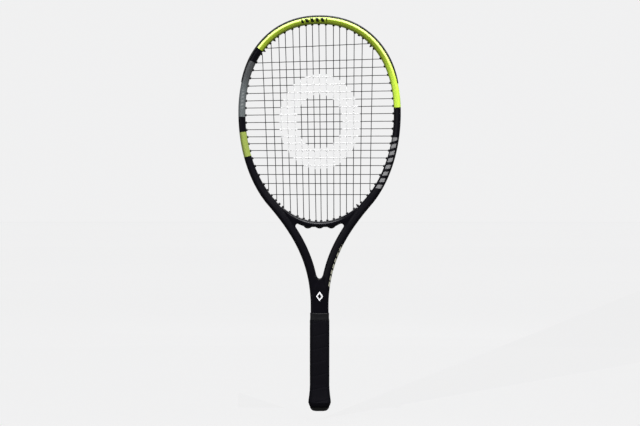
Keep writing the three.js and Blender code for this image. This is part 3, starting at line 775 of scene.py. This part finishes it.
def near_group(piece, name, centres, radius):
    """A vertex group that fades out from a few places in the plan."""
    group = piece.vertex_groups.new(name=name)
    points = points_of(piece.data)
    weight = np.zeros(len(points))
    for x, z in centres:
        away = np.hypot(points[:, 0] - x, points[:, 2] - z)
        weight = np.maximum(weight, np.clip(1.6 - 1.6 * away / radius, 0, 1))
    for i in np.nonzero(weight)[0]:
        group.add([int(i)], float(weight[i]), "REPLACE")


def modifier(piece, kind, **settings):
    added = piece.modifiers.new(kind.lower(), kind)
    for key, value in settings.items():
        setattr(added, key, value)
    return added


# Half width, half depth, corner and height of the shaft's sections, and of the neck inside the grip's top.
SHAFT_SECTIONS = [(SHAFT_HALF, SHAFT_DEPTH, 3.5, 166.0), (SHAFT_HALF, SHAFT_DEPTH, 3.5, 200.0),
                  (12.5, 11.8, 3.5, 214.0), (9, 10.5, 3, 225.5)]
NECK_SECTIONS = [(13.9, 10.8, 3.5, 155.3), (13.9, 10.8, 3.5, 168.0)]
VOXEL, QUICK_VOXEL = 0.95, 1.7


def frame_shell(runs):
    """The outer surface of the frame and its throat bridge, made in one."""
    body = swept(beam_profile, frame_places(90, 360))
    shaft = skin([octagon(*section) for section in SHAFT_SECTIONS])
    neck = skin([octagon(*section) for section in NECK_SECTIONS])
    bridge = skin([bridge_ring(x) for x in np.linspace(-BRIDGE_BODY_REACH, BRIDGE_BODY_REACH, 120)])
    fills = [corner_fill(-1), corner_fill(1), crotch_fill()]
    points, faces = combine([body, shaft, neck, bridge, *fills])
    whole = mesh_object("frame_shell", points, faces, None)
    voxel = VOXEL
    modifier(whole, "REMESH", mode="VOXEL", voxel_size=voxel * MM)
    apply_modifiers(whole)
    cutter = mesh_object("slot_cutter", *strip_groove(), None)
    modifier(whole, "BOOLEAN", operation="DIFFERENCE", object=cutter, solver="FAST")
    apply_modifiers(whole)
    bpy.data.objects.remove(cutter)
    near_group(whole, "fillets", FILLETS, FILLET_REACH)
    modifier(whole, "SMOOTH", factor=0.5, iterations=5)
    modifier(whole, "SMOOTH", factor=0.5, iterations=14, vertex_group="fillets")
    apply_modifiers(whole)
    add_runs(whole.data, runs)
    return whole


def divide(whole, material):
    """The frame and the bridge cut from one surface, whose normals they keep, so no crease shows."""
    mesh = whole.data
    points = points_of(mesh)
    normals = np.array([v.normal[:] for v in mesh.vertices])
    values = {}
    for name in ("run", "across"):
        data = np.empty(len(points), np.float32)
        mesh.attributes[name].data.foreach_get("value", data)
        values[name] = data
    faces = [tuple(p.vertices) for p in mesh.polygons]
    centres = np.array([p.center[:] for p in mesh.polygons]) / MM
    beside, height = abs(centres[:, 0]), centres[:, 2]
    in_bridge = (beside < BRIDGE_END) & (height > BRIDGE_CUT_LOW) & (height < BRIDGE_CUT_HIGH)
    pieces = []
    for name, keep in (("frame_body", ~in_bridge), ("throat_bridge_body", in_bridge)):
        chosen = [faces[i] for i in np.nonzero(keep)[0]]
        used = sorted({v for face in chosen for v in face})
        index = {v: i for i, v in enumerate(used)}
        piece = mesh_object(name, points[used], [tuple(index[v] for v in f) for f in chosen], material)
        for key, data in values.items():
            store(piece.data, key, data[used])
        piece.data.normals_split_custom_set_from_vertices(normals[used].tolist())
        pieces.append(piece)
    bpy.data.objects.remove(whole)
    return pieces


# ---- Grommets -------------------------------------------------------------

def barrel(one, seat):
    """A grommet barrel, thick where it leaves the frame and rounded at its tip."""
    tip = one["edge"] - one["out"] * BARREL_OUT
    profile = [(0.0, 1.2), (0.02, 1.7), (0.2, 1.95), (0.7, BARREL_RADIUS), (2.0, BARREL_RADIUS + 0.05)]
    path = [tip + one["out"] * reach for reach, _ in profile] + [seat]
    sizes = [radius for _, radius in profile] + [BARREL_RADIUS + 0.1]
    return tube(path, lambda i: sizes[i], 14)


def seat_on_floor(one):
    return one["exit"] + one["out"] * (STRIP_FLOOR + LOOP_DEPTH + 0.4)


def strip_profile(outer):
    return mirrored([(STRIP_FLOOR, STRIP_HALF), (outer - 0.3, STRIP_HALF), (outer, STRIP_HALF - 0.3),
                     (outer, CHANNEL_HALF + 0.2), (outer - 0.2, CHANNEL_HALF), (STRIP_TOP, CHANNEL_HALF)])


def side_holes(side):
    crosses = [row[side] for row in CROSSES if row[side]["edge"][2] < BUMPER_END[side]]
    return crosses + [bottom for _, bottom in MAINS[side][BRIDGE_MAINS:]] + [TIES[side]["bottom"]]


def side_strip(side, material):
    start = angle_at_height(BUMPER_END[side] - 2) / JUNCTION
    end = 1 + ARM_STRIP_END - 0.02
    places = side * np.linspace(start, end, 170)
    shapes = [swept(strip_profile(-0.05), sorted(places))]
    shapes += [barrel(one, seat_on_floor(one)) for one in side_holes(side)]
    name = "side_strip_left" if side < 0 else "side_strip_right"
    return mesh_object(name, *combine(shapes), material, SHARP_ANGLE)


def bumper_reach(side):
    return angle_at_height(BUMPER_END[side]) / JUNCTION


def bumper_profile(place):
    """A shell over the frame's outer wall that thins towards its two ends."""
    end = bumper_reach(-1 if place < 0 else 1)
    share = min(1.0, max(0.0, (end - abs(place)) / 0.12)) ** 0.7
    crown = BUMPER_END_HEIGHT + (BUMPER_HEIGHT - BUMPER_END_HEIGHT) * share
    ridge = 0.12 * math.sin(place * 260) * share
    inside = [(STRIP_FLOOR, STRIP_HALF), (0.3, STRIP_HALF), (0.3, 6.86), (-0.92, 9.91), (-0.75, 10.5)]
    edge = [(-0.45, 10.7), (0.1, 10.2), (0.6 + 0.7 * share, 8.8), (crown - 0.4 + ridge, 7.2)]
    outside = [(crown - 0.05, 6.2), (crown, 4.6), (crown, CHANNEL_HALF + 0.5), (crown - 0.4, CHANNEL_HALF)]
    return mirrored([*inside, *edge, *outside, (STRIP_TOP, CHANNEL_HALF)])


def bumper(material):
    holes = [top for side in (-1, 1) for top, _ in MAINS[side]]
    holes += [row[side] for row in CROSSES for side in (-1, 1) if row[side]["edge"][2] > BUMPER_END[side]]
    holes += [TIES[side][kind] for side in (-1, 1) for kind in ("main", "cross")]
    shapes = [swept(bumper_profile, np.linspace(-bumper_reach(-1), bumper_reach(1), 420))]
    shapes += [barrel(one, seat_on_floor(one)) for one in holes]
    return mesh_object("bumper_shell", *combine(shapes), material, SHARP_ANGLE)


def throat_strip(material):
    """The strip under the bridge, with three low bumps, and its barrels."""
    rings = []
    for x in np.linspace(-BRIDGE_END + 1, BRIDGE_END - 1, 160):
        floor = bridge_under(x) + BRIDGE_GROOVE - 0.3
        bump = max(max(0.0, 1 - ((x - centre) / STRIP_BUMP_HALF) ** 2) for centre in STRIP_BUMPS)
        lip = bridge_under(x) - 0.9 - STRIP_BUMP_DEPTH * bump
        half = [(CHANNEL_HALF, floor - 0.9), (CHANNEL_HALF, lip + 0.2), (CHANNEL_HALF + 0.2, lip),
                (STRIP_HALF - 0.2, lip), (STRIP_HALF, lip + 0.2), (STRIP_HALF, floor)]
        rings.append([np.array([x, y, z]) for y, z in front_and_back(half)])
    shapes = [skin(rings)]
    for side in (-1, 1):
        for _, bottom in MAINS[side][:BRIDGE_MAINS]:
            seat = bottom["exit"] + np.array([0, 0, 1.6])
            shapes.append(barrel(bottom, seat))
    return mesh_object("throat_strip", *combine(shapes), material, SHARP_ANGLE)


# ---- Strings --------------------------------------------------------------

def way(one, other, lane):
    """From inside the head, out through a hole and round into the groove, towards another hole."""
    bore = math.copysign(BORE_SHIFT, lane)
    if one["place"] is None:
        forward = unit(other["exit"] - one["exit"])
    else:
        step = 0.01 * math.copysign(1, other["place"] - one["place"])
        forward = unit(at(one["place"] + step, -LOOP_DEPTH, 0) - one["exit"])

    def spot(base, out, ahead, y):
        point = base + one["out"] * out + forward * ahead
        return np.array([point[0], y, point[2]])

    return [spot(one["edge"], -STRING_BEND, 0, bore), spot(one["exit"], -1.5, 0, bore),
            spot(one["exit"], -0.4, 0.35, (bore + lane) / 2), spot(one["exit"], 0, 1.7, lane)]


def loop(one, other, lane):
    out, back = way(one, other, lane), way(other, one, lane)[::-1]
    if one["place"] is None:
        return [*out, *back]
    count = max(2, int(abs(other["place"] - one["place"]) * 120))
    between = np.linspace(one["place"], other["place"], count + 2)[1:-1]
    middle = [at(place, -LOOP_DEPTH, lane) for place in between
              if min(abs(place - one["place"]), abs(place - other["place"])) > 0.012]
    return [*out, *middle, *back]


def tip(one):
    return one["edge"] - one["out"] * STRING_BEND


def order(side, index):
    return index if side < 0 else index + 1


def cross_height(ends, x):
    left, right = tip(ends[-1]), tip(ends[1])
    return left[2] + (right[2] - left[2]) * (x - left[0]) / (right[0] - left[0])


def main_line(side, index):
    """Heights and depths of a main where each cross passes it, from top to bottom."""
    top, bottom = (tip(one) for one in MAINS[side][index])
    knots = [(top[2], -BORE_SHIFT)]
    for row, ends in enumerate(CROSSES):
        z = cross_height(ends, (top[0] + bottom[0]) / 2)
        if bottom[2] + 1 < z < top[2] - 1:
            knots.append((z, (-1) ** (order(side, index) + row) * -MAIN_SWING))
    knots.append((bottom[2], -BORE_SHIFT))
    points = []
    for (z0, y0), (z1, y1) in zip(knots, knots[1:]):
        for t in np.linspace(0, 1, 9)[:-1]:
            z = z0 + (z1 - z0) * t
            x = np.interp(z, [bottom[2], top[2]], [bottom[0], top[0]])
            points.append(np.array([x, y0 + (y1 - y0) * (1 - math.cos(math.pi * t)) / 2, z]))
    return points


def cross_line(row):
    ends = CROSSES[row]
    left, right = tip(ends[-1]), tip(ends[1])
    knots = [(left[0], BORE_SHIFT)]
    for side in (-1, 1):
        for index in range(len(MAINS[side])):
            top, bottom = (tip(one) for one in MAINS[side][index])
            z = cross_height(ends, (top[0] + bottom[0]) / 2)
            if bottom[2] < z < top[2]:
                x = np.interp(z, [bottom[2], top[2]], [bottom[0], top[0]])
                knots.append((x, (-1) ** (order(side, index) + row) * CROSS_SWING))
    knots.append((right[0], BORE_SHIFT))
    knots.sort()
    points = []
    for (x0, y0), (x1, y1) in zip(knots, knots[1:]):
        for t in np.linspace(0, 1, 9)[:-1]:
            x = x0 + (x1 - x0) * t
            y = y0 + (y1 - y0) * (1 - math.cos(math.pi * t)) / 2
            points.append(np.array([x, y, cross_height(ends, x)]))
    return points


def knot(one, lane):
    """A small tie-off hitch: two tight turns of string at the tip of its barrel."""
    centre = tip(one) - one["out"] * KNOT_OUT
    side_way = np.array([one["out"][2], 0, -one["out"][0]])
    turns = []
    back = np.array([0, 1, 0])
    centre = centre + back * math.copysign(BORE_SHIFT, lane)
    for share in np.linspace(0, 1, 40):
        turn = share * 4 * math.pi
        swing = (side_way * math.cos(turn) + back * math.sin(turn)) * KNOT_TURN
        turns.append(centre + swing + one["out"] * (share - 0.5) * KNOT_LENGTH)
    tail = turns[-1] - one["out"] * KNOT_TAIL
    return tube([*turns, tail], KNOT_STRING)


def strand(name, path, knots, material):
    """A string along a path, its sharper corners cut, with its tie-offs."""
    rounded = [path[0]]
    for before, here, after in zip(path, path[1:], path[2:]):
        turn = np.dot(unit(here - before), unit(after - here))
        rounded += [here * 0.8 + before * 0.2, here * 0.8 + after * 0.2] if turn < 0.97 else [here]
    rounded.append(path[-1])
    shapes = [tube(rounded, STRING_RADIUS), *knots]
    return mesh_object(name, *combine(shapes), material)


def main_half(side):
    """The string from its tie-off to the middle of the head, working inwards."""
    rows = MAINS[side]
    outermost = len(rows) - 1
    path = loop(TIES[side]["main"], rows[outermost][0], -STRING_LANE)
    for i in range(outermost, 0, -2):
        path += main_line(side, i)[1:] + loop(rows[i][1], rows[i - 1][1], -STRING_LANE)
        path += main_line(side, i - 1)[::-1][:-1]
        if i > 1:
            path += loop(rows[i - 1][0], rows[i - 2][0], -STRING_LANE)
    return path


def main_string(material):
    centre = loop(MAINS[-1][0][0], MAINS[1][0][0], -STRING_LANE)
    path = [*main_half(-1), *centre, *main_half(1)[::-1]]
    knots = [knot(TIES[side]["main"], -1) for side in (-1, 1)]
    return strand("main_strand", path, knots, material)


def cross_string(material):
    path = loop(TIES[-1]["cross"], CROSSES[0][-1], STRING_LANE)
    for row, ends in enumerate(CROSSES):
        line = cross_line(row)[1:]
        far = 1 if row % 2 == 0 else -1
        path += line if far > 0 else line[::-1]
        after = CROSSES[row + 1][far] if row < len(CROSSES) - 1 else TIES[1]["bottom"]
        path += loop(ends[far], after, STRING_LANE)
    knots = [knot(TIES[-1]["cross"], 1), knot(TIES[1]["bottom"], 1)]
    return strand("cross_strand", path, knots, material)


# ---- Handle ---------------------------------------------------------------

GRIP_FLARE = [(GRIP_BOTTOM, 16), (10, 17.9), (15, 19.6), (20, 19.1), (25, 18.4), (36, 17.3), (46, 16.9)]
GRIP_PROFILE = [*GRIP_FLARE, (60, GRIP_HALF), (GRIP_TOP, GRIP_HALF)]
WRAP_PITCH, WRAP_STEP, SKIRT_CHAMFER, MID_PHASE = 23.0, 0.42, 3.8, 0.5
GRIP_ROUND, HOLE_SPACING, HOLE_RADIUS, HOLE_ROWS = 96, 4.2, 0.5, (0.3, MID_PHASE, 0.7)


def grip_wrap(material):
    """The strip wound up the handle: each turn laps over the one below, with rows of perforations."""
    heights = [z for z, _ in GRIP_PROFILE]
    widths = [w for _, w in GRIP_PROFILE]
    rings, marks = [], []
    for z in np.arange(GRIP_BOTTOM, GRIP_TOP + 0.01, 0.5):
        width = np.interp(z, heights, widths)
        base = octagon(width, width - GRIP_LOSS, GRIP_CHAMFER * width / GRIP_HALF, z, 3)
        ring = []
        for point in base:
            turn = math.atan2(point[1], point[0]) / (2 * math.pi)
            phase = ((z / WRAP_PITCH) - turn) % 1.0
            lap = WRAP_STEP * max(0.0, 1 - phase / 0.09) ** 2
            edge = WRAP_STEP * 0.5 * max(0.0, (phase - 0.9) / 0.1) ** 2
            fade = min(1.0, (z - GRIP_BOTTOM) / 4, (GRIP_TOP - z) / 3)
            inward = 1 - (lap + edge) * max(0.0, fade) / width
            ring.append(np.array([point[0] * inward, point[1] * inward, z]))
            marks.append(phase)
        rings.append(ring)
    skirt = [(GRIP_TOP + 0.2, 16.3, 14.4), (GRIP_TOP + 0.25, 15.1, 12.0), (SKIRT_TOP, 15.0, 11.9)]
    for z, width, depth in skirt:
        rings.append(octagon(width, depth, SKIRT_CHAMFER, z, 3))
        marks += [MID_PHASE] * len(rings[-1])
    points, faces = skin(rings)
    piece = mesh_object("grip_wrap", points, faces, material)
    round_hole = perforations(np.array(points), np.array(marks))
    store(piece.data, "perforation", round_hole)
    return piece


def perforations(points, phase):
    """How much of a small hole each point is in: rows of holes along the middle of the strip."""
    turn = np.arctan2(points[:, 1], points[:, 0]) / (2 * math.pi)
    along = turn * GRIP_ROUND / HOLE_SPACING
    rows = np.zeros(len(points))
    for row in HOLE_ROWS:
        shift = 0.5 if row == MID_PHASE else 0.0
        near_row = (phase - row) * WRAP_PITCH
        near_dot = ((along + shift) % 1.0 - 0.5) * HOLE_SPACING
        rows = np.maximum(rows, np.clip(1.5 - np.hypot(near_row, near_dot) / HOLE_RADIUS, 0, 1))
    return rows


def collar(material):
    """A rubber ring with rolled lips and a shallow waist."""
    lower = [(0.0, 0.3), (0.25, 0.0), (0.6, 0.12), (0.68, 0.8), (0.6, 1.6), (0.5, 3.0)]
    upper = [(0.5, 8.6), (0.6, 10.0), (0.68, 10.8), (0.6, 11.48), (0.25, 11.6), (0.0, 11.3)]
    profile = [*lower, (0.46, 5.8), *upper]
    inner = SHAFT_HALF + COLLAR_ROOM
    rings = []
    for offset, rise in profile:
        width = inner + offset
        depth = width - SHAFT_HALF + SHAFT_DEPTH
        rings.append(octagon(width, depth, COLLAR_CHAMFER + offset * 0.4, COLLAR_BOTTOM + rise, 3))
    points, faces = skin(rings, closed=True)
    return mesh_object("collar_ring", points, faces, material)


# ---- Room -----------------------------------------------------------------

BACKDROP, AMBIENT, FLOOR_TONE, FLOOR_RADIUS = 0.875, 0.26, 0.10, 60000
PALE = (1.0, 1.0, 1.004, 1.0)
CAMERA_LENS, CAMERA_AWAY, CAMERA_RIGHT, CAMERA_UP = 85, 2.625, 0.0007, 0.0002


def world():
    """An even pale surround; what the camera sees of it is brighter than the light that it gives."""
    scene_world = bpy.data.worlds.new("studio")
    scene_world.use_nodes = True
    bpy.context.scene.world = scene_world
    bpy.context.scene.view_settings.view_transform = "Standard"
    nodes = scene_world.node_tree.nodes
    links = scene_world.node_tree.links
    background = nodes["Background"]
    path = nodes.new("ShaderNodeLightPath")
    strength = nodes.new("ShaderNodeMapRange")
    links.new(path.outputs["Is Camera Ray"], strength.inputs[0])
    strength.inputs["To Min"].default_value = AMBIENT
    strength.inputs["To Max"].default_value = BACKDROP
    background.inputs["Color"].default_value = PALE
    links.new(strength.outputs[0], background.inputs["Strength"])


def floor():
    """A wide pale disc, just below the reach of the butt cap's door."""
    door = next(joint for joint in frame["joints"] if joint["child"] == "door")
    level = -door["range_m"][1] / MM - 1
    turns = np.linspace(0, 2 * math.pi, 96, endpoint=False)
    circle = [np.array([math.cos(turn), math.sin(turn), 0]) for turn in turns]
    rings = [[spot * radius + np.array([0, 0, level]) for spot in circle] for radius in (1, FLOOR_RADIUS)]
    points, faces = skin(rings)
    glow = BACKDROP - FLOOR_TONE * AMBIENT
    s = Shader("pale_floor", 0.9, Emission_Color=PALE, Emission_Strength=glow, Specular_IOR_Level=0.0)
    tone = (FLOOR_TONE,) * 3
    s.colour(s.mix(s.noise(3, 2.0), tone, scaled(tone, 1.02)))
    ground = mesh_object("floor", points, faces, s.material)
    ground.visible_diffuse = False
    ground.visible_glossy = False


def area(name, place, aim, size, power):
    """A soft lamp at a place in metres, turned towards another."""
    data = bpy.data.lights.new(name, "AREA")
    data.shape = "RECTANGLE"
    data.size, data.size_y = size
    data.energy = power
    lamp = bpy.data.objects.new(name, data)
    lamp.location = place
    lamp.rotation_euler = (Vector(aim) - Vector(place)).to_track_quat("-Z", "Y").to_euler()
    bpy.context.scene.collection.objects.link(lamp)


def lights():
    area("key", (0.5, -1.5, 2.3), (0, 0, 0.45), (1.3, 1.0), 90)
    area("fill", (-1.8, -1.8, 1.0), (0, 0, 0.4), (1.4, 1.6), 12)
    area("top", (0.1, -0.3, 2.1), (0, 0, 0.5), (1.4, 0.9), 40)
    area("back", (0.3, 2.0, 1.6), (0, 0, 0.4), (1.8, 1.2), 26)


def camera():
    """A long lens square to the string bed, level with the middle of the racket."""
    data = bpy.data.cameras.new("camera")
    data.lens = CAMERA_LENS
    data.sensor_width = 36
    data.dof.use_dof = False
    view = bpy.data.objects.new("camera", data)
    middle = 0.5 * RACKET_LENGTH * MM
    view.location = (CAMERA_RIGHT, -CAMERA_AWAY, middle + CAMERA_UP)
    view.rotation_euler = (math.radians(90), 0, 0)
    bpy.context.scene.collection.objects.link(view)
    bpy.context.scene.camera = view


# ---- The racket -----------------------------------------------------------

def dress(piece, body, node):
    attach(piece, body)
    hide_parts(node)


def carry_over(node, material):
    kept = frame["nodes"][node]
    kept.data.materials.clear()
    kept.data.materials.append(material)


camera()
world()
lights()
floor()

nylon = nylon_material()
runs = sample_runs()
frame_body, bridge_body = divide(frame_shell(runs), paint_material(runs))
dress(frame_body, "racket", "frame")
dress(bridge_body, "racket", "throat_bridge")
dress(bumper(nylon), "racket", "bumper_guard")
dress(side_strip(-1, nylon), "racket", "grommet_strip_left")
dress(side_strip(1, nylon), "racket", "grommet_strip_right")
dress(throat_strip(nylon), "racket", "grommet_strip_throat")
dress(main_string(string_material("main_polyester")), "racket", "main_string")
dress(cross_string(string_material("cross_polyester")), "racket", "cross_string")
dress(grip_wrap(grip_material()), "racket", "base_grip")
dress(collar(rubber_material()), "collar", "rubber_collar")
carry_over("finishing_tape", tape_material())
carry_over("butt_cap", nylon_material("butt_cap_nylon", 0.004))
carry_over("butt_cap_door", nylon_material("door_nylon", 0.007))
for pallet in ("handle_pallet_front", "handle_pallet_back"):
    carry_over(pallet, foam_material())
for number in range(1, 5):
    carry_over(f"butt_cap_staple_{number}", steel_material())
